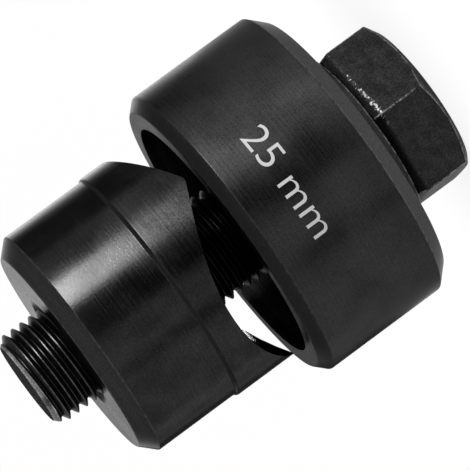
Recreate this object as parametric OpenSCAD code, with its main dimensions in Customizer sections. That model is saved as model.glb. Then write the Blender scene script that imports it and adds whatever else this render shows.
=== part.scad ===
// Knockout punch: a hex-headed draw bolt pulls a three-pointed punch into a cup-shaped die.
// The tool stands on the bolt's head. +Z runs along the bolt, from the head to its free end.

/* [Draw bolt] */
// Outside diameter of the bolt's thread
thread_d = 10; // [8:0.5:12]
// Pitch of the thread, which sets how deep the thread is cut
thread_pitch = 1; // [0.75:0.25:1.5]
// Length of the bolt under its head
shank_len = 39.6; // [38:0.2:60]
// Width of the hexagon across its flats
head_af = 16; // [15.5:0.5:20]
// Height of the head
head_h = 6.4; // [5:0.1:9]
// Diameter of the flat that the turned chamfer leaves on the head's end
head_face_d = 15; // [12:0.5:15]
// Height of the bevel along the hexagon's edges under the head
head_bevel_h = 1; // [0.5:0.1:1.5]
// How far that bevel sets the flats in
head_bevel_in = 0.3; // [0.1:0.05:0.5]

/* [Washer] */
// How far the washer stands past the flats of the head
washer_lip = 1; // [0.4:0.1:3]
// Thickness of the washer
washer_t = 1.6; // [1:0.1:3]
// Chamfer on the washer's outside edges
washer_chamfer = 0.2; // [0.1:0.05:0.4]

/* [Die] */
// Outside diameter of the die
die_d = 31.5; // [30:0.5:40]
// Length of the die
die_len = 15.2; // [14:0.2:20]
// Depth of the hollow that takes the punch and the cut slug
cavity_depth = 10; // [6:0.5:11]
// Chamfer round the die's rim, on the outside
rim_chamfer = 1.1; // [0.5:0.1:1.5]
// Chamfer round the die's closed end
die_chamfer = 1.5; // [0.5:0.1:2]
// Countersink on both ends of the hole in the die's floor
floor_chamfer = 0.5; // [0.2:0.1:1]

/* [Punch] */
// Diameter of the hole that the punch cuts, which is that of its cutting land
cut_d = 25; // [23:0.5:26]
// Length of the punch from its points to its back face
punch_len = 17; // [15:0.5:20]
// Length of the cutting land behind the points
land_len = 6.6; // [5:0.2:9]
// How much the body behind the land is turned down, on the radius
land_relief = 0.25; // [0.1:0.05:0.6]
// Depth of the valleys between the points
crown_depth = 4; // [3:0.1:5]
// What is ground off each point
point_blunt = 0.08; // [0:0.02:0.2]
// Chamfer round the punch's back face
punch_chamfer = 1.45; // [0.5:0.05:2.5]
// Turn of the points about the bolt, from the hexagon's corners
points_turn = 87; // [0:1:119]

/* [Fits] */
// Clearance round the bolt in the washer and the die, on the radius
bolt_clear = 0.25; // [0.1:0.05:0.5]
// Running clearance of the bolt in the punch's threaded hole, on the radius
thread_clear = 0.05; // [0.02:0.01:0.1]
// Clearance between the cutting land and the die's bore, on the radius
cut_clear = 0.3; // [0.1:0.05:0.5]
// Gap between the points and the die's rim, before the punch is drawn in
points_gap = 0.9; // [0.3:0.1:4]

/* [Hidden] */
$fn = 128;
steel = [0.10, 0.10, 0.105];
bolt_steel = [0.07, 0.07, 0.075];
// How far a cutting shape reaches past what it cuts
past = 1;
// Slope of the turned chamfer on the head
head_slope = 30;
// The hexagon's flats and corners
flats = 6;
flat_turn = 360 / flats;
head_corner_r = head_af / 2 / cos(flat_turn / 2);
head_face_r = head_face_d / 2;
head_turn_r = head_corner_r + past;
head_turn_h = (head_turn_r - head_face_r) * tan(head_slope);
bevel_angle = atan(head_bevel_in / head_bevel_h);
// The thread's radius and depth, and the lead chamfers that clear it
depth_per_pitch = 0.6134;
lead_per_depth = 1.3;
thread_r = thread_d / 2;
thread_depth = depth_per_pitch * thread_pitch;
lead_chamfer = lead_per_depth * thread_depth;
tapped_r = thread_r + thread_clear;
clear_r = thread_r + bolt_clear;
// Radii of the die and the punch
die_r = die_d / 2;
land_r = cut_d / 2;
body_r = land_r - land_relief;
die_bore_r = land_r + cut_clear;
// Heights at which the pieces sit on one another
washer_z = head_h;
die_z = washer_z + washer_t;
rim_z = die_z + die_len;
points_z = rim_z + points_gap;
bolt_end_z = head_h + shank_len;
// The crown: each scallop's radius lets two neighbours meet just past the ground points
points = 3;
point_turn = 360 / points;
half_pitch_reach = land_r * sin(point_turn / 2);
sharp_depth = crown_depth + point_blunt;
scallop_r = (pow(half_pitch_reach, 2) + pow(sharp_depth, 2)) / (2 * sharp_depth);

// The hexagon, standing on the face that the turned chamfer leaves
module hex_head() {
    intersection() {
        difference() {
            cylinder(r = head_corner_r, h = head_h, $fn = flats);
            for (side = [0 : flats - 1])
                rotate(flat_turn * (side + 0.5))
                    flat_bevel();
        }
        rotate_extrude()
            polygon([
                [0, 0],
                [head_face_r, 0],
                [head_turn_r, head_turn_h],
                [head_turn_r, head_h],
                [0, head_h]
            ]);
    }
}

// What the bevel takes off one flat, next to the washer
module flat_bevel() {
    translate([head_af / 2, 0, head_h - head_bevel_h])
        rotate([0, -bevel_angle, 0])
            translate([0, -head_af / 2, 0])
                cube([head_af / 2, head_af, head_bevel_h + past]);
}

// Hex bolt, drawn at its thread's outside diameter
module draw_bolt() {
    color(bolt_steel)
        union() {
            hex_head();
            rotate_extrude()
                polygon([
                    [0, head_h / 2],
                    [thread_r, head_h / 2],
                    [thread_r, bolt_end_z - lead_chamfer],
                    [thread_r - lead_chamfer, bolt_end_z],
                    [0, bolt_end_z]
                ]);
        }
}

// Plain washer, which lies on the head and carries the die
module washer() {
    washer_r = head_af / 2 + washer_lip;
    color(steel)
        translate([0, 0, washer_z])
            rotate_extrude()
                polygon([
                    [clear_r, 0],
                    [washer_r - washer_chamfer, 0],
                    [washer_r, washer_chamfer],
                    [washer_r, washer_t - washer_chamfer],
                    [washer_r - washer_chamfer, washer_t],
                    [clear_r, washer_t]
                ]);
}

// Turned cup: its rim is the lower cutting edge, and its floor takes the bolt
module die() {
    floor_t = die_len - cavity_depth;
    color(steel)
        translate([0, 0, die_z])
            rotate_extrude()
                polygon([
                    [clear_r + floor_chamfer, 0],
                    [die_r - die_chamfer, 0],
                    [die_r, die_chamfer],
                    [die_r, die_len - rim_chamfer],
                    [die_r - rim_chamfer, die_len],
                    [die_bore_r, die_len],
                    [die_bore_r, floor_t],
                    [clear_r + floor_chamfer, floor_t],
                    [clear_r, floor_t - floor_chamfer],
                    [clear_r, floor_chamfer]
                ]);
}

// One scallop of the crown, milled straight in from the rim to the axis
module scallop() {
    translate([0, 0, crown_depth - scallop_r])
        rotate([0, 90, 0])
            cylinder(r = scallop_r, h = land_r + past);
}

// Turned blank of the punch, points down: cutting land, relieved body and threaded hole
module punch_blank() {
    rotate_extrude()
        polygon([
            [tapped_r, 0],
            [land_r, 0],
            [land_r, land_len],
            [body_r, land_len + land_relief],
            [body_r, punch_len - punch_chamfer],
            [body_r - punch_chamfer, punch_len],
            [tapped_r + lead_chamfer, punch_len],
            [tapped_r, punch_len - lead_chamfer]
        ]);
}

// Punch with its crown: the scallops leave a point and a ridge between each two of them
module punch() {
    color(steel)
        translate([0, 0, points_z])
            rotate(points_turn)
                difference() {
                    punch_blank();
                    for (valley = [0 : points - 1])
                        rotate(point_turn * (valley + 0.5))
                            scallop();
                }
}

draw_bolt();
washer();
die();
punch();
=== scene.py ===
import math

import bmesh
import bpy
from mathutils import Matrix, Quaternion, Vector


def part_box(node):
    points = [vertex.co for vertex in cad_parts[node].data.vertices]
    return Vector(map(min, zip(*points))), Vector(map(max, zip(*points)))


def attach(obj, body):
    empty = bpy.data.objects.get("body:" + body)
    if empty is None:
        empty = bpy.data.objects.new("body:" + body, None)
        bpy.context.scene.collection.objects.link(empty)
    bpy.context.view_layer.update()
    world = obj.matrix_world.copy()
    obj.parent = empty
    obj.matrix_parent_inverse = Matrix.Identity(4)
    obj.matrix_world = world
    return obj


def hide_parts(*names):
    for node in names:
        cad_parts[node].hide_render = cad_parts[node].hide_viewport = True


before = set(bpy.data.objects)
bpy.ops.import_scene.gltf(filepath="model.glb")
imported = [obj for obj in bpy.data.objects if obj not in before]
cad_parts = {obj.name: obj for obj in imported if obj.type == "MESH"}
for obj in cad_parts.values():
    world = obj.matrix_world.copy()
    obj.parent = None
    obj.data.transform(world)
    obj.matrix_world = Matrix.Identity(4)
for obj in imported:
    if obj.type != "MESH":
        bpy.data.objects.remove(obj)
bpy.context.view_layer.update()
scene = bpy.context.scene
scene.view_settings.view_transform = "Standard"
mm = 0.001
nearly = 0.01                                           # millimetres that still count as the same place
upAxis = Vector((0, 0, 1))
middle = Vector((0, 0, 0))
print("frame loaded:", ", ".join(sorted(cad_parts)))


# sizes come from the frame, in millimetres: how far out a node reaches, its bottom and its top
def nodeSize(node):
    low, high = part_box(node)
    return [round(v / mm, 2) for v in (high.y, low.z, high.z)]


headFlat, boltLow, boltTop = nodeSize("draw_bolt")
washerOut, washerLow, washerTop = nodeSize("washer")
dieOut, dieLow, dieTop = nodeSize("die")
punchOut, punchLow, punchTop = nodeSize("punch")


def linkNew(name, data):
    made = bpy.data.objects.new(name, data)
    scene.collection.objects.link(made)
    return made


# a direction out from the tool, by azimuth and elevation
def wayOut(azimuth, elevation=0.0):
    a, e = math.radians(azimuth), math.radians(elevation)
    return Vector((math.sin(a) * math.cos(e), -math.cos(a) * math.cos(e), math.sin(e)))


# a camera or lamp looks back along the way out to it
def placeFacing(thing, place, out, roll=0.0):
    thing.location = place
    thing.rotation_mode = "QUATERNION"
    thing.rotation_quaternion = (-out).to_track_quat("-Z", "Y") @ Quaternion(upAxis, math.radians(roll))


# camera, at the photograph's angle: the tool stands on its head and the camera is rolled
cameraSettings = {
    "aim": (-0.00005, -0.00054, 0.022), "azimuth": 25.28, "elevation": 7.968, "roll": -126.28,
    "distance": 0.375, "lens": 306.4, "sensor": 36.0, "clipStart": 0.01,
}


def makeCamera(s):
    camera = linkNew("photoCamera", bpy.data.cameras.new("photoCamera"))
    out = wayOut(s["azimuth"], s["elevation"])
    placeFacing(camera, Vector(s["aim"]) + out * s["distance"], out, s["roll"])
    camera.data.lens = s["lens"]
    camera.data.sensor_width = s["sensor"]
    camera.data.clip_start = s["clipStart"]
    scene.camera = camera


makeCamera(cameraSettings)
print("camera placed")


# small helpers for shader nodes
def addNode(tree, kind, **settings):
    node = tree.nodes.new(kind)
    for name, value in settings.items():
        setattr(node, name, value)
    return node


def plug(tree, source, socket):
    if hasattr(source, "is_output"):
        tree.links.new(source, socket)
    else:
        socket.default_value = source


def plugAll(tree, sources, sockets):
    for source, socket in zip(sources, sockets):
        plug(tree, source, socket)


def sums(tree, operation, *values):
    node = addNode(tree, "ShaderNodeMath", operation=operation)
    plugAll(tree, values, node.inputs)
    return node.outputs[0]


def plus(tree, a, b):
    return sums(tree, "ADD", a, b)


def minus(tree, a, b):
    return sums(tree, "SUBTRACT", a, b)


def times(tree, product, *others):
    for other in others:
        product = sums(tree, "MULTIPLY", product, other)
    return product


def timesPlus(tree, a, b, c):
    return sums(tree, "MULTIPLY_ADD", a, b, c)


def gapTo(tree, value, target):
    return sums(tree, "ABSOLUTE", minus(tree, value, target))


def lengthOf(tree, a, b):
    return sums(tree, "SQRT", timesPlus(tree, a, a, times(tree, b, b)))


def ramped(tree, value, low, high, toLow=0.0, toHigh=1.0):
    node = addNode(tree, "ShaderNodeMapRange", interpolation_type="SMOOTHSTEP")
    plugAll(tree, (value, low, high, toLow, toHigh), node.inputs)
    return node.outputs[0]


def noise(tree, where, scale, detail, roughness, dimensions="3D"):
    node = addNode(tree, "ShaderNodeTexNoise", noise_dimensions=dimensions)
    plug(tree, where, node.inputs["W" if dimensions == "1D" else "Vector"])
    plug(tree, scale, node.inputs["Scale"])
    plug(tree, detail, node.inputs["Detail"])
    plug(tree, roughness, node.inputs["Roughness"])
    return node.outputs["Fac"]


# noise made into patches: none below one value, full above the other
def blotches(tree, where, scale, detail, roughness, low, high):
    return ramped(tree, noise(tree, where, scale, detail, roughness), low, high)


def objectSpot(tree):
    return addNode(tree, "ShaderNodeTexCoord").outputs["Object"]


# where a point is on the piece, along each axis and out from the bolt's axis
def turnedPlace(tree):
    spot = objectSpot(tree)
    split = addNode(tree, "ShaderNodeSeparateXYZ")
    plug(tree, spot, split.inputs[0])
    x, y, z = split.outputs
    return {"spot": spot, "x": x, "y": y, "z": z, "radius": lengthOf(tree, x, y)}


def newGroup(name, inputs, outputs):
    tree = bpy.data.node_groups.new(name, "ShaderNodeTree")
    for title, value in inputs.items():
        socket = tree.interface.new_socket(name=title, in_out="INPUT", socket_type="NodeSocketFloat")
        socket.default_value = value
    for title in outputs:
        tree.interface.new_socket(name=title, in_out="OUTPUT", socket_type="NodeSocketFloat")
    return tree, addNode(tree, "NodeGroupInput").outputs, addNode(tree, "NodeGroupOutput").inputs


def useGroup(tree, group, **values):
    node = addNode(tree, "ShaderNodeGroup", node_tree=group)
    for name, value in values.items():
        plug(tree, value, node.inputs[name])
    return node.outputs


# lathe lines: rings that follow the turned surface, stronger here and weaker there
latheSettings = {
    "lean": 0.62,                                       # lets the rings run over flat faces too
    "fine": (2.0, 0.6), "coarse": (1.0, 0.5),           # detail and roughness of the noise
    "coarseScale": 0.21, "coarseHeight": 0.7, "fineHeight": 0.6, "streak": (0.3, 0.72),
    "patches": (160.0, 1.0, 0.5, 0.3, 0.7),
}


def makeLatheLines(s):
    tree, given, out = newGroup("latheLines", {"Lines": 4200.0, "Broken": 0.5}, ("Height", "Streak"))
    at = turnedPlace(tree)
    along = timesPlus(tree, at["radius"], s["lean"], at["z"])
    fine = noise(tree, along, given["Lines"], *s["fine"], dimensions="1D")
    wider = times(tree, given["Lines"], s["coarseScale"])
    coarse = noise(tree, along, wider, *s["coarse"], dimensions="1D")
    share = minus(tree, 1.0, times(tree, given["Broken"], blotches(tree, at["spot"], *s["patches"])))
    both = timesPlus(tree, coarse, s["coarseHeight"], times(tree, fine, s["fineHeight"]))
    plug(tree, times(tree, both, share), out["Height"])
    plug(tree, ramped(tree, fine, *s["streak"]), out["Streak"])
    return tree


# black oxide: cloudy tone, and fine grain
oxideSettings = {"clouds": (4.0, 0.55, 0.3, 0.7), "grit": (2.0, 0.6)}


def makeOxideFilm(s):
    tree, given, out = newGroup("oxideFilm", {"Clouds": 260.0, "Grain": 9000.0}, ("Tone", "Grit"))
    spot = objectSpot(tree)
    plug(tree, blotches(tree, spot, given["Clouds"], *s["clouds"]), out["Tone"])
    plug(tree, noise(tree, spot, given["Grain"], *s["grit"]), out["Grit"])
    return tree


# a ring of rubbed steel or of oil, along a turned edge
touchSettings = {"patches": (1400.0, 4.0, 0.65), "fade": 0.25}


def makeRingTouch(s):
    inputs = {"Radius": 0.01, "Height": 0.0, "Width": 0.0002, "Broken": 0.5}
    tree, given, out = newGroup("ringTouch", inputs, ("Mask",))
    at = turnedPlace(tree)
    aside = minus(tree, at["radius"], given["Radius"])
    above = minus(tree, at["z"], given["Height"])
    near = ramped(tree, lengthOf(tree, aside, above), given["Width"], 0.0)
    full = plus(tree, given["Broken"], s["fade"])
    patches = blotches(tree, at["spot"], *s["patches"], given["Broken"], full)
    plug(tree, times(tree, near, patches), out["Mask"])
    return tree


# a band between two heights, such as a chamfer
def makeHeightBand():
    tree, given, out = newGroup("heightBand", {"Low": 0.0, "High": 0.01, "Soft": 0.00005}, ("Mask",))
    height = turnedPlace(tree)["z"]
    sides = []
    for edge in ("Low", "High"):
        start = minus(tree, given[edge], given["Soft"])
        sides.append(ramped(tree, height, start, plus(tree, given[edge], given["Soft"])))
    plug(tree, minus(tree, *sides), out["Mask"])
    return tree


latheLines = makeLatheLines(latheSettings)
oxideFilm = makeOxideFilm(oxideSettings)
ringTouch = makeRingTouch(touchSettings)
heightBand = makeHeightBand()
print("shader groups made")


# small helpers for materials
def newMaterial(name):
    material = bpy.data.materials.new(name)
    material.use_nodes = True
    return material, material.node_tree


def principled(tree):
    return tree.nodes["Principled BSDF"].inputs


def greyMix(tree, factor, dark, pale):
    node = addNode(tree, "ShaderNodeMix", data_type="RGBA")
    plug(tree, factor, node.inputs["Factor"])
    greys = [(*source, 1.0) if isinstance(source, tuple) else source for source in (dark, pale)]
    plugAll(tree, greys, [i for i in node.inputs if i.type == "RGBA"])
    return [o for o in node.outputs if o.type == "RGBA"][0]


def paint(tree, colour, mask, grey):
    return greyMix(tree, mask, colour, (grey, grey, grey))


def greyTimes(tree, colour, value):
    node = addNode(tree, "ShaderNodeVectorMath", operation="SCALE")
    plug(tree, colour, node.inputs[0])
    plug(tree, value, node.inputs["Scale"])
    return node.outputs[0]


def bumpOf(tree, height, depth, under=None):
    node = addNode(tree, "ShaderNodeBump")
    node.inputs["Distance"].default_value = depth * mm
    plug(tree, height, node.inputs["Height"])
    if under is not None:
        plug(tree, under, node.inputs["Normal"])
    return node.outputs[0]


# black oxide as most pieces have it: lines, clouds and grain are per metre, depths and places in millimetres
plainOxide = {
    "edgeTint": 0.5, "broken": 0.5, "grain": 7000.0, "gritRange": (0.3, 0.7), "grainRough": 0.08,
    "streakRough": 0.05,
    "bands": [],                                        # low, high, softness, grey
    "touches": [],                                      # radius, height, width, how broken, grey
}


def blackSteel(name, s, wear=None, piece=None):
    material, tree = newMaterial(name)
    shader, tint = principled(tree), s["edgeTint"]
    shader["Metallic"].default_value = s["metal"]
    shader["Specular Tint"].default_value = (tint, tint, tint, 1.0)
    lathe = useGroup(tree, latheLines, Lines=s["lines"], Broken=s["broken"])
    film = useGroup(tree, oxideFilm, Clouds=s["clouds"], Grain=s["grain"])
    colour = greyMix(tree, film["Tone"], s["dark"], s["pale"])
    # bands paint a grey between two heights; some of them are painted shade or painted reflection
    for low, high, soft, grey in s["bands"]:
        band = useGroup(tree, heightBand, Low=low * mm, High=high * mm, Soft=soft * mm)
        colour = paint(tree, colour, band["Mask"], grey)
    for radius, height, width, broken, grey in s["touches"]:
        touch = useGroup(tree, ringTouch, Radius=radius * mm, Height=height * mm, Width=width * mm,
                         Broken=broken)
        colour = paint(tree, colour, touch["Mask"], grey)
    if wear:
        colour = wear(tree, colour, piece)
    grain = ramped(tree, film["Grit"], *s["gritRange"], 1 - s["grainTone"], 1 + s["grainTone"])
    ridges = ramped(tree, lathe["Streak"], 0.0, 1.0, 1 - s["lineTone"], 1 + s["lineTone"])
    plug(tree, greyTimes(tree, colour, times(tree, grain, ridges)), shader["Base Color"])
    rough = timesPlus(tree, lathe["Streak"], s["streakRough"], s["roughness"])
    rough = timesPlus(tree, film["Tone"], s["cloudRough"], rough)
    rough = timesPlus(tree, film["Grit"], s["grainRough"], rough)
    plug(tree, rough, shader["Roughness"])
    lines = bumpOf(tree, lathe["Height"], s["lineDepth"])
    plug(tree, bumpOf(tree, film["Grit"], s["gritDepth"], lines), shader["Normal"])
    return material


# small helpers for meshes
roundSegments = 3                                       # faces across every rounded edge


def allOf(bm):
    return bm.verts[:] + bm.edges[:] + bm.faces[:]


def vertsIn(geom):
    return [g for g in geom if isinstance(g, bmesh.types.BMVert)]


def openEdges(bm):
    return [e for e in bm.edges if e.is_boundary]


def meshFrom(bm, name):
    mesh = bpy.data.meshes.new(name)
    bm.to_mesh(mesh)
    bm.free()
    return mesh


def joinMesh(bm, mesh):
    bm.from_mesh(mesh)
    bpy.data.meshes.remove(mesh)


def faceOutwards(bm):
    bmesh.ops.recalc_face_normals(bm, faces=bm.faces[:])


def turnAll(bm, degrees):
    turn = Matrix.Rotation(math.radians(degrees), 3, "Z")
    bmesh.ops.rotate(bm, cent=middle, matrix=turn, verts=bm.verts[:])


def finishPiece(bm, name, body, materials, sharp, node=None):
    for face in bm.faces:
        face.smooth = True
    for edge in bm.edges:
        edge.smooth = edge.calc_face_angle(0.0) < math.radians(sharp)
    mesh = meshFrom(bm, name)
    for material in materials:
        mesh.materials.append(material)
    piece = linkNew(name, mesh)
    normals = piece.modifiers.new("faceNormals", "WEIGHTED_NORMAL")
    normals.keep_sharp = True
    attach(piece, body)
    if node:
        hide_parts(node)
    print(f"{name}: {len(mesh.polygons)} faces on {body}")


# half a section beside the axis: each corner is a radius, a height and its rounding
def drawOutline(bm, outline, closed=True):
    corners = [bm.verts.new((r * mm, 0, z * mm)) for r, z, rounding in outline]
    ends = corners[1:] + corners[:1] if closed else corners[1:]
    for pair in zip(corners, ends):
        bm.edges.new(pair)
    for size in sorted({o[2] for o in outline} - {0}):
        chosen = [v for v, o in zip(corners, outline) if o[2] == size and v.is_valid]
        bmesh.ops.bevel(bm, geom=chosen, offset=size * mm, segments=roundSegments, profile=0.5,
                        affect="VERTICES", material=-1)


def spinAll(bm, steps, weld=1e-7):
    bmesh.ops.spin(bm, geom=bm.verts[:] + bm.edges[:], cent=middle, axis=upAxis, angle=math.tau,
                   steps=steps, use_merge=True)
    bmesh.ops.remove_doubles(bm, verts=bm.verts[:], dist=weld)
    faceOutwards(bm)


# right-hand thread, on the bolt and tapped in the punch
threadSettings = {
    "radius": 5.0, "pitch": 1.0, "depth": 0.6134, "lead": 0.797, "steps": 64,
    "clear": 0.25, "tapClear": 0.05,                    # room round the bolt, in plain and tapped holes
    "shape": [                                          # from crest to crest: shares of pitch and depth
        (0.0, 0.0), (0.1, 0.0), (0.135, 0.06), (0.31, 0.5), (0.45, 0.9), (0.51, 1.0),
        (0.59, 1.0), (0.65, 0.9), (0.79, 0.5), (0.965, 0.06), (1.0, 0.0)],
}
clearHole = threadSettings["radius"] + threadSettings["clear"]
tappedHole = threadSettings["radius"] + threadSettings["tapClear"]


# one turn is spun up the axis, repeated, and trimmed at both ends
def windThread(bm, s, low, high, out=0.0, weld=5e-6):
    pitch, steps, crest = s["pitch"], s["steps"], s["radius"] + out
    first = (math.floor(low / pitch) - 1) * pitch
    turns = math.ceil((high - first) / pitch) + 1
    rows = [(crest - deep * s["depth"], first + up * pitch) for up, deep in s["shape"]]
    section = [bm.verts.new((r * mm, 0, z * mm)) for r, z in rows]
    edges = [bm.edges.new(pair) for pair in zip(section, section[1:])]
    bmesh.ops.spin(bm, geom=section + edges, cent=middle, axis=upAxis, angle=math.tau,
                   dvec=upAxis * pitch * mm / steps, steps=steps)
    oneTurn = allOf(bm)
    for turn in range(1, turns):
        copied = bmesh.ops.duplicate(bm, geom=oneTurn)["geom"]
        bmesh.ops.translate(bm, vec=upAxis * pitch * mm * turn, verts=vertsIn(copied))
    bmesh.ops.remove_doubles(bm, verts=bm.verts[:], dist=weld)
    for height, side in ((low, -1), (high, 1)):
        bmesh.ops.bisect_plane(bm, geom=allOf(bm), plane_co=upAxis * height * mm, plane_no=upAxis * side,
                               clear_outer=True)


# draw bolt: a forged hexagon, and thread to the end
boltSettings = {
    "flats": 6, "faceR": 7.5, "slope": 30.0, "chamferRow": 0.5, "bevelHeight": 1.0, "bevelIn": 0.3,
    "edge": 0.1, "edgeFrom": 12.0, "stepsPerFlat": 16, "threadRoot": 0.5, "sharp": 30.0,
    "headFinish": {
        **plainOxide,
        "dark": (0.018, 0.018, 0.0182), "pale": (0.029, 0.029, 0.0292), "metal": 1.0,
        "lines": 900.0, "broken": 0.9, "clouds": 900.0, "grain": 5000.0,
        "lineTone": 0.05, "grainTone": 0.35, "lineDepth": 0.001, "gritDepth": 0.012,
        "roughness": 0.3, "streakRough": 0.03, "cloudRough": 0.08, "grainRough": 0.1,
        # painted shade: the top of the head's flats is darkened beside the washer, standing in for the
        # washer's contact shadow and its dark reflection
        "bands": [(washerLow - 0.8, washerLow + 0.2, 0.25, 0.008)],
    },
    "headWear": {
        "chamferRise": (0.06, 0.02), "chamferGrey": 0.034,
        "arcRise": 0.07, "arcWidth": 0.07, "arcPatches": (700.0, 3.0, 0.6, 0.35, 0.6), "arcGrey": 0.22,
        "cornerWidth": 0.14, "cornerRange": (8.7, 8.9), "cornerPatches": (1300.0, 4.0, 0.65, 0.38, 0.62),
        "cornerGrey": 0.22,
        "bevelEdge": washerLow - 0.95, "bevelWidth": 0.5, "bevelChips": 0.2,
        "towards": -38.0, "towardsRange": (6.8, 8.6), "towardsChips": 0.19,
        "chips": (4200.0, 5.0, 0.75), "chipRange": (0.84, 0.93), "bareGrey": 0.36,
    },
    "threadFinish": {
        **plainOxide,
        "dark": (0.012, 0.012, 0.0122), "pale": (0.021, 0.021, 0.0212), "metal": 0.88, "edgeTint": 0.45,
        "lines": 9000.0, "broken": 0.3, "clouds": 700.0,
        "lineTone": 0.35, "grainTone": 0.5, "lineDepth": 0.014, "gritDepth": 0.006,
        "roughness": 0.26, "streakRough": -0.12, "cloudRough": 0.06, "grainRough": 0.1,
        # painted shade: the thread is darkened where it runs inside the die and the punch, standing in for
        # their shadow
        "bands": [(dieLow + 5.0, punchLow + 6.9, 1.5, 0.005)],
    },
    "threadWear": {
        "crestDepth": 0.035, "crestRange": (30.0, 38.0), "crestGrey": 0.06,
        "leadGap": (0.06, 0.02), "leadPatches": (450.0, 3.0, 0.55, 0.2, 0.6), "leadGrey": 0.24,
    },
    "endFinish": {
        **plainOxide,
        "dark": (0.018, 0.018, 0.0182), "pale": (0.036, 0.036, 0.0365), "metal": 0.95, "edgeTint": 0.12,
        "lines": 5000.0, "broken": 0.6, "clouds": 500.0,
        "lineTone": 0.25, "grainTone": 0.3, "lineDepth": 0.006, "gritDepth": 0.006,
        "roughness": 0.42, "cloudRough": 0.1, "grainRough": 0.1,
        "touches": [(3.95, boltTop, 0.7, 0.2, 0.008)],
    },
}


# the turned chamfer and the hexagon's corners are paler, and one edge of the bevel is chipped bright
def wornHead(tree, colour, bolt):
    s = bolt["headWear"]
    at = turnedPlace(tree)
    cone = times(tree, minus(tree, at["radius"], bolt["faceR"] * mm), math.tan(math.radians(bolt["slope"])))
    rise = minus(tree, at["z"], cone)
    chamfer = ramped(tree, rise, *[r * mm for r in s["chamferRise"]])
    colour = paint(tree, colour, chamfer, s["chamferGrey"])
    arc = ramped(tree, gapTo(tree, rise, s["arcRise"] * mm), s["arcWidth"] * mm, 0.0)
    arc = times(tree, arc, blotches(tree, at["spot"], *s["arcPatches"]))
    colour = paint(tree, colour, arc, s["arcGrey"])
    step = math.tau / bolt["flats"]
    turn = sums(tree, "DIVIDE", sums(tree, "ARCTAN2", at["y"], at["x"]), step)
    aside = times(tree, sums(tree, "PINGPONG", turn, 0.5), step, at["radius"])
    corner = ramped(tree, aside, s["cornerWidth"] * mm, 0.0)
    corner = times(tree, corner, blotches(tree, at["spot"], *s["cornerPatches"]), minus(tree, 1.0, chamfer))
    corner = times(tree, corner, ramped(tree, at["radius"], *[r * mm for r in s["cornerRange"]]))
    colour = paint(tree, colour, corner, s["cornerGrey"])
    bevel = gapTo(tree, at["z"], s["bevelEdge"] * mm)
    bevel = ramped(tree, bevel, s["bevelWidth"] * mm, 0.0, 0.0, s["bevelChips"])
    way = math.radians(s["towards"])
    side = timesPlus(tree, at["x"], math.cos(way), times(tree, at["y"], math.sin(way)))
    side = ramped(tree, side, *[r * mm for r in s["towardsRange"]], 0.0, s["towardsChips"])
    chips = plus(tree, noise(tree, at["spot"], *s["chips"]), plus(tree, bevel, side))
    return paint(tree, colour, ramped(tree, chips, *s["chipRange"]), s["bareGrey"])


# thread crests are rubbed towards the free end, and the lead chamfer there is bare
def rubbedCrests(tree, colour, bolt):
    s, crest = bolt["threadWear"], threadSettings["radius"]
    at = turnedPlace(tree)
    rubbed = ramped(tree, at["radius"], (crest - s["crestDepth"]) * mm, crest * mm)
    rubbed = times(tree, rubbed, ramped(tree, at["z"], *[z * mm for z in s["crestRange"]]))
    colour = paint(tree, colour, rubbed, s["crestGrey"])
    cone = boltTop + crest - threadSettings["lead"]     # radius and height add up to this on the chamfer
    away = gapTo(tree, plus(tree, at["radius"], at["z"]), cone * mm)
    lead = ramped(tree, away, *[g * mm for g in s["leadGap"]])
    lead = times(tree, lead, blotches(tree, at["spot"], *s["leadPatches"]))
    return paint(tree, colour, lead, s["leadGrey"])


def makeHead(s):
    bm = bmesh.new()
    flatTurn, faceR = 360 / s["flats"], s["faceR"]
    corner = headFlat / math.cos(math.radians(flatTurn / 2))
    slope = math.tan(math.radians(s["slope"]))
    drawOutline(bm, [
        (0, boltLow, 0), (faceR, boltLow, 0), (corner, boltLow + s["chamferRow"], 0),
        (corner, washerLow - s["bevelHeight"], 0), (corner - s["bevelIn"], washerLow, 0),
        (0, washerLow, 0)], closed=False)
    spinAll(bm, s["flats"] * s["stepsPerFlat"])
    for v in bm.verts:
        radius, height = v.co.xy.length / mm, v.co.z / mm
        if radius < faceR + nearly:
            continue
        turn = math.degrees(math.atan2(v.co.y, v.co.x)) % flatTurn - flatTurn / 2
        side = headFlat / math.cos(math.radians(turn))
        if height < boltLow + s["chamferRow"] + nearly:     # the turned chamfer meets the flats in arcs
            height = boltLow + (side - faceR) * slope
        if height > washerLow - nearly:                     # the bevel beside the washer
            side *= 1 - s["bevelIn"] / headFlat
        v.co = Vector((v.co.x / radius * side, v.co.y / radius * side, height * mm))
    edges = [e for e in bm.edges if e.calc_face_angle(0.0) > math.radians(s["edgeFrom"])]
    bmesh.ops.bevel(bm, geom=edges, offset=s["edge"] * mm, segments=roundSegments, profile=0.5,
                    affect="EDGES", material=-1, clamp_overlap=True)
    return bm


def makeShank(s):
    bm = bmesh.new()
    windThread(bm, threadSettings, washerLow - s["threadRoot"], boltTop)
    for v in bm.verts:
        most = threadSettings["radius"] - threadSettings["lead"] + boltTop - v.co.z / mm
        radius = v.co.xy.length / mm
        if radius > most:                               # the lead chamfer on the bolt's end
            v.co.xy *= most / radius
    bmesh.ops.holes_fill(bm, edges=openEdges(bm), sides=0)
    faceOutwards(bm)
    for face in bm.faces:                               # the end and the thread; the head keeps 0
        face.material_index = 2 if face.calc_center_median().z > (boltTop - nearly) * mm else 1
    return bm


def makeBolt(s):
    bm = makeShank(s)
    joinMesh(bm, meshFrom(makeHead(s), "spareHead"))
    materials = [
        blackSteel("forgedHead", s["headFinish"], wornHead, s),
        blackSteel("oiledThread", s["threadFinish"], rubbedCrests, s),
        blackSteel("cutEnd", s["endFinish"])]
    finishPiece(bm, "drawBolt", "bolt", materials, s["sharp"], "draw_bolt")


makeBolt(boltSettings)


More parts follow.
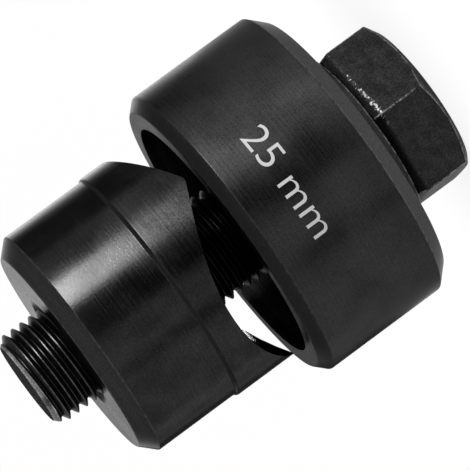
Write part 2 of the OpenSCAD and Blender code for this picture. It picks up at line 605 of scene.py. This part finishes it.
# washer between the head and the die
washerSettings = {
    "chamfer": 0.2, "edge": 0.05, "steps": 192, "sharp": 40.0,
    "finish": {
        **plainOxide,
        "dark": (0.02, 0.02, 0.0202), "pale": (0.034, 0.034, 0.0342), "metal": 0.95,
        "lines": 6000.0, "clouds": 300.0,
        "lineTone": 0.2, "grainTone": 0.3, "lineDepth": 0.003, "gritDepth": 0.004,
        "roughness": 0.26, "cloudRough": 0.08,
        # painted shade: a dark line round the washer's top edge, standing in for the shadow in the gap under
        # the die
        "bands": [(washerTop - 0.1, washerTop + 0.1, 0.05, 0.006)],
        "touches": [(washerOut - 0.05, washerLow + 0.1, 0.16, 0.34, 0.22)],
    },
}


def makeWasher(s):
    bm = bmesh.new()
    c, e = s["chamfer"], s["edge"]
    drawOutline(bm, [
        (clearHole, washerLow, e), (washerOut - c, washerLow, e), (washerOut, washerLow + c, e),
        (washerOut, washerTop - c, e), (washerOut - c, washerTop, e), (clearHole, washerTop, e)])
    spinAll(bm, s["steps"])
    materials = [blackSteel("washerOxide", s["finish"])]
    finishPiece(bm, "washerRing", "bolt", materials, s["sharp"], "washer")


makeWasher(washerSettings)


# die: a turned cup, whose rim is the lower cutting edge
dieSettings = {
    "cutClear": 0.3, "cavity": 10.0, "rimChamfer": 1.1, "endChamfer": 1.5, "holeChamfer": 0.5,
    "edge": 0.1, "cuttingEdge": 0.04, "floorEdge": 0.3, "steps": 288, "sharp": 40.0,
    "finish": {
        **plainOxide,
        "dark": (0.024, 0.024, 0.0242), "pale": (0.033, 0.033, 0.0332), "metal": 0.98,
        "lines": 7500.0, "clouds": 240.0,
        "lineTone": 0.1, "grainTone": 0.22, "lineDepth": 0.003, "gritDepth": 0.003,
        "roughness": 0.22, "cloudRough": 0.06,
        # painted reflection: the die's end chamfer by the washer is painted pale, standing in for bright
        # light reflected from below; the rim chamfer's band is a darker grey
        "bands": [
            (dieLow - 0.1, dieLow + 1.42, 0.05, 0.066), (dieTop - 1.08, dieTop + 0.1, 0.05, 0.0135)],
        "touches": [
            (dieOut - 0.05, dieTop - 1.05, 0.16, 0.42, 0.034),
            (dieOut - 1.07, dieTop - 0.02, 0.14, 0.42, 0.034),
            (dieOut - 0.05, dieLow + 1.45, 0.14, 0.3, 0.1)],
    },
}


def makeDie(s):
    bm = bmesh.new()
    bore, floor, e = punchOut + s["cutClear"], dieTop - s["cavity"], s["edge"]
    rim, end, c = s["rimChamfer"], s["endChamfer"], s["holeChamfer"]
    drawOutline(bm, [
        (clearHole + c, dieLow, e), (dieOut - end, dieLow, e), (dieOut, dieLow + end, e),
        (dieOut, dieTop - rim, e), (dieOut - rim, dieTop, e), (bore, dieTop, s["cuttingEdge"]),
        (bore, floor, s["floorEdge"]), (clearHole + c, floor, e), (clearHole, floor - c, e),
        (clearHole, dieLow + c, e)])
    spinAll(bm, s["steps"])
    materials = [blackSteel("dieOxide", s["finish"])]
    finishPiece(bm, "dieCup", "die", materials, s["sharp"], "die")


makeDie(dieSettings)


# punch: three cutting points between milled scallops
bodyRelief = 0.25                                       # how far the body is turned down behind the land
bodyOut = punchOut - bodyRelief
punchSettings = {
    "points": 3, "turn": 87.0, "crown": 4.0, "blunt": 0.08, "landLength": 6.6, "chamfer": 1.45,
    "edge": 0.1, "cuttingEdge": 0.04, "stepEdge": 0.13, "steps": 288, "sharp": 30.0,
    "frontRings": (6.5, 8.0, 9.5, 11.0), "frontRows": 1.0,
    "threadFront": 0.3, "threadBack": 0.15, "threadFade": 1.2, "threadGap": 0.04, "threadSeat": 5.3,
    "finish": {
        **plainOxide,
        "dark": (0.018, 0.018, 0.0182), "pale": (0.029, 0.029, 0.0292), "metal": 1.0,
        "lines": 6500.0, "clouds": 260.0,
        "lineTone": 0.1, "grainTone": 0.26, "lineDepth": 0.0018, "gritDepth": 0.006,
        "roughness": 0.13, "cloudRough": 0.05,
        "bands": [
            (punchTop - 1.4, punchTop + 0.2, 0.05, 0.025), (punchLow + 6.56, punchLow + 6.9, 0.12, 0.012)],
        "touches": [
            (bodyOut - 0.05, punchTop - 1.48, 0.14, 0.35, 0.045),
            (bodyOut - 1.4, punchTop - 0.05, 0.12, 0.3, 0.05),
            (6.2, punchTop, 1.5, 0.42, 0.009)],
    },
}


# how far a scallop lifts the front face; two neighbours meet just past each ground point
def crownRise(s, angle, radius):
    pointTurn = 360 / s["points"]
    reach = punchOut * math.sin(math.radians(pointTurn / 2))
    deep = s["crown"] + s["blunt"]
    scallop = (reach ** 2 + deep ** 2) / (2 * deep)
    aside = radius * math.sin(math.radians((angle - s["turn"]) % pointTurn - pointTurn / 2))
    return max(0.0, s["crown"] - scallop + math.sqrt(scallop ** 2 - aside ** 2))


# the tapped thread, a closed ring set into the wall of the hole
def makeTapping(s):
    bm = bmesh.new()
    front = punchLow + s["crown"] + s["threadFront"]
    back = punchTop - threadSettings["lead"] - s["threadBack"]
    windThread(bm, threadSettings, front, back, s["threadGap"])
    for v in bm.verts:                                  # it fades out at both ends
        height, radius = v.co.z / mm, v.co.xy.length / mm
        least = tappedHole - nearly - min(height - front, back - height) * s["threadFade"]
        if radius < least:
            v.co.xy *= least / radius
    grown = bmesh.ops.extrude_edge_only(bm, edges=openEdges(bm))["geom"]
    for v in vertsIn(grown):
        v.co.xy *= s["threadSeat"] * mm / v.co.xy.length
    bmesh.ops.bridge_loops(bm, edges=openEdges(bm))
    faceOutwards(bm)
    return bm


def makePunch(s):
    bm = bmesh.new()
    step, e, lead = punchLow + s["landLength"], s["edge"], threadSettings["lead"]
    drawOutline(bm, [
        (tappedHole, punchLow, e), *[(ring, punchLow, 0) for ring in s["frontRings"]],
        (punchOut, punchLow, s["cuttingEdge"]), (punchOut, step, s["stepEdge"]),
        (bodyOut, step + bodyRelief, s["stepEdge"]), (bodyOut, punchTop - s["chamfer"], e),
        (bodyOut - s["chamfer"], punchTop, e), (tappedHole + lead, punchTop, e),
        (tappedHole, punchTop - lead, e)])
    turnAll(bm, s["turn"])
    spinAll(bm, s["steps"])
    for v in bm.verts:
        if v.co.z / mm < punchLow + s["frontRows"]:
            angle = math.degrees(math.atan2(v.co.y, v.co.x))
            v.co.z += crownRise(s, angle, v.co.xy.length / mm) * mm
    joinMesh(bm, meshFrom(makeTapping(s), "spareThread"))
    materials = [blackSteel("punchOxide", s["finish"])]
    finishPiece(bm, "punchCrown", "punch", materials, s["sharp"], "punch")


makePunch(punchSettings)


# size mark on the die's side, in a plain hand
markSettings = {
    "words": "25 mm", "width": 11.7, "digitHeight": 2.55, "height": dieLow + 9.15, "startAngle": -40.3,
    "thin": -0.008, "depth": 0.5, "proud": 0.004, "sunk": 0.03, "cuts": 60, "sharp": 40.0,
    "dark": (0.27, 0.27, 0.27), "pale": (0.38, 0.38, 0.38), "clouds": 500.0, "grain": 9000.0,
    "roughness": 0.5, "cloudRough": 0.15,
}


def paleMark(name, s):
    material, tree = newMaterial(name)
    shader = principled(tree)
    film = useGroup(tree, oxideFilm, Clouds=s["clouds"], Grain=s["grain"])
    plug(tree, greyMix(tree, film["Grit"], s["dark"], s["pale"]), shader["Base Color"])
    plug(tree, timesPlus(tree, film["Tone"], s["cloudRough"], s["roughness"]), shader["Roughness"])
    return material


def flatWords(s):
    curve = bpy.data.curves.new("sizeWords", "FONT")
    curve.body = s["words"]
    curve.extrude = s["depth"]
    curve.offset = s["thin"]
    words = linkNew("sizeWords", curve)
    bpy.context.view_layer.update()
    mesh = bpy.data.meshes.new_from_object(words.evaluated_get(bpy.context.evaluated_depsgraph_get()))
    bpy.data.objects.remove(words)
    return mesh


def makeMark(s, weld=1e-6):
    bm = bmesh.new()
    joinMesh(bm, flatWords(s))
    bmesh.ops.remove_doubles(bm, verts=bm.verts[:], dist=weld)
    low = [min(v.co[i] for v in bm.verts) for i in range(3)]
    size = [max(v.co[i] for v in bm.verts) - low[i] for i in range(3)]
    for cut in range(1, s["cuts"]):                     # upright cuts let the letters bend
        place = (low[0] + size[0] * cut / s["cuts"], 0, 0)
        bmesh.ops.bisect_plane(bm, geom=allOf(bm), plane_co=place, plane_no=(1, 0, 0))
    for v in bm.verts:                                  # wrapped round the die
        x, y, t = [(v.co[i] - low[i]) / size[i] for i in range(3)]
        radius = (dieOut - s["sunk"] + (s["sunk"] + s["proud"]) * t) * mm
        angle = math.radians(s["startAngle"]) - x * s["width"] / dieOut
        height = (s["height"] - (y - 0.5) * s["digitHeight"]) * mm
        v.co = Vector((radius * math.cos(angle), radius * math.sin(angle), height))
    faceOutwards(bm)
    finishPiece(bm, "sizeMark", "die", [paleMark("markGrey", s)], s["sharp"])


makeMark(markSettings)


# studio: white floor and surroundings, a low strip light beside the tool and weaker ones round it
studioSettings = {
    "floorSize": 8.0, "floorGrey": 0.95, "floorGlow": 0.85, "fillLight": 1.0,
    "cardLift": 0.0004, "cardRough": 0.9,
    "lamps": {
        "keyStrip": dict(azimuth=68.6, distance=0.12, bottom=0.0245, width=0.05, tall=0.018, glow=36.0),
        "edgeStrip": dict(azimuth=174.0, distance=0.09, bottom=0.0005, width=0.034, tall=0.034, glow=2.0),
        "rightStrip": dict(azimuth=270.0, distance=0.09, bottom=0.0005, width=0.026, tall=0.034, glow=0.6),
        "backStrip": dict(azimuth=207.0, distance=0.06, bottom=0.0005, width=0.014, tall=0.0205, glow=12.0),
    },
    "cards": {
        "cameraCard": dict(azimuth=38.0, near=0.06, far=0.15, width=0.03, spread=3.0, tall=0.03, grey=0.02),
        "sideCard": dict(azimuth=-15.0, near=0.05, far=0.15, width=0.012, spread=2.5, tall=0.03, grey=0.25),
        "farCard": dict(azimuth=13.0, near=0.19, far=0.27, width=0.08, spread=1.4, tall=0.001, grey=0.2),
        "leftCard": dict(azimuth=135.0, near=0.12, far=0.15, width=0.1, spread=1.2, tall=0.06, grey=0.22),
        "backCard": dict(azimuth=223.0, near=0.08, far=0.16, width=0.07, spread=1.6, tall=0.053, grey=0.06),
    },
}


# camera, glossy and transmission rays see the plain white
def seenAsWhite(tree):
    rays = addNode(tree, "ShaderNodeLightPath").outputs
    seen = sums(tree, "MAXIMUM", rays["Is Camera Ray"], rays["Is Glossy Ray"])
    return sums(tree, "MAXIMUM", seen, rays["Is Transmission Ray"])


def mixShaders(tree, share, first, second, output):
    both = addNode(tree, "ShaderNodeMixShader")
    plugAll(tree, (share, first.outputs[0], second.outputs[0]), both.inputs)
    plug(tree, both.outputs[0], addNode(tree, output).inputs["Surface"])


def makeFloor(s):
    bm = bmesh.new()
    bmesh.ops.create_grid(bm, x_segments=1, y_segments=1, size=s["floorSize"] / 2)
    floor = linkNew("paleFloor", meshFrom(bm, "paleFloor"))
    material, tree = newMaterial("paleFloor")
    tree.nodes.clear()
    grey = s["floorGrey"]
    matt = addNode(tree, "ShaderNodeBsdfDiffuse")
    matt.inputs["Color"].default_value = (grey, grey, grey, 1)
    white = addNode(tree, "ShaderNodeEmission")
    share = times(tree, seenAsWhite(tree), s["floorGlow"])
    mixShaders(tree, share, matt, white, "ShaderNodeOutputMaterial")
    floor.data.materials.append(material)


# dark cards that only the metal sees: a mat on the floor, turned up at its far end
def makeCards(s):
    for name, card in s["cards"].items():
        material, tree = newMaterial(name)
        shader = principled(tree)
        grey, half = card["grey"], card["width"] / 2
        shader["Base Color"].default_value = (grey, grey, grey, 1)
        shader["Roughness"].default_value = s["cardRough"]
        bm = bmesh.new()
        ends = [bm.verts.new((x, -card["near"], s["cardLift"])) for x in (-half, half)]
        edges = [bm.edges.new(ends)]
        along = Vector((0, card["near"] - card["far"], 0))
        for move, spread in ((along, card["spread"]), (upAxis * card["tall"], 1)):
            grown = bmesh.ops.extrude_edge_only(bm, edges=edges)["geom"]
            verts = vertsIn(grown)
            bmesh.ops.translate(bm, vec=move, verts=verts)
            bmesh.ops.scale(bm, vec=(spread, 1, 1), verts=verts)
            edges = [e for e in openEdges(bm) if all(v in verts for v in e.verts)]
        turnAll(bm, card["azimuth"])
        panel = linkNew(name, meshFrom(bm, name))
        panel.data.materials.append(material)
        panel.visible_camera = False
        panel.visible_diffuse = False
        panel.visible_shadow = False
        panel.visible_transmission = False


def makeWorld(s):
    world = bpy.data.worlds.new("whiteStudio")
    world.use_nodes = True
    tree = world.node_tree
    tree.nodes.clear()
    soft, white = [addNode(tree, "ShaderNodeBackground") for side in range(2)]
    for light in (soft, white):
        light.inputs["Color"].default_value = (1, 1, 1, 1)
    soft.inputs["Strength"].default_value = s["fillLight"]
    mixShaders(tree, seenAsWhite(tree), soft, white, "ShaderNodeOutputWorld")
    scene.world = world


# a strip's glow is its own brightness, whatever its size
def makeLamps(s):
    for name, lamp in s["lamps"].items():
        data = bpy.data.lights.new(name, "AREA")
        data.shape = "RECTANGLE"
        data.size, data.size_y = lamp["width"], lamp["tall"]
        data.energy = math.pi * lamp["glow"] * lamp["width"] * lamp["tall"]
        panel = linkNew(name, data)
        out = wayOut(lamp["azimuth"])
        placeFacing(panel, out * lamp["distance"] + upAxis * (lamp["bottom"] + lamp["tall"] / 2), out)
        panel.visible_camera = False


makeFloor(studioSettings)
makeCards(studioSettings)
makeWorld(studioSettings)
makeLamps(studioSettings)
print("floor, surroundings and lamps placed")
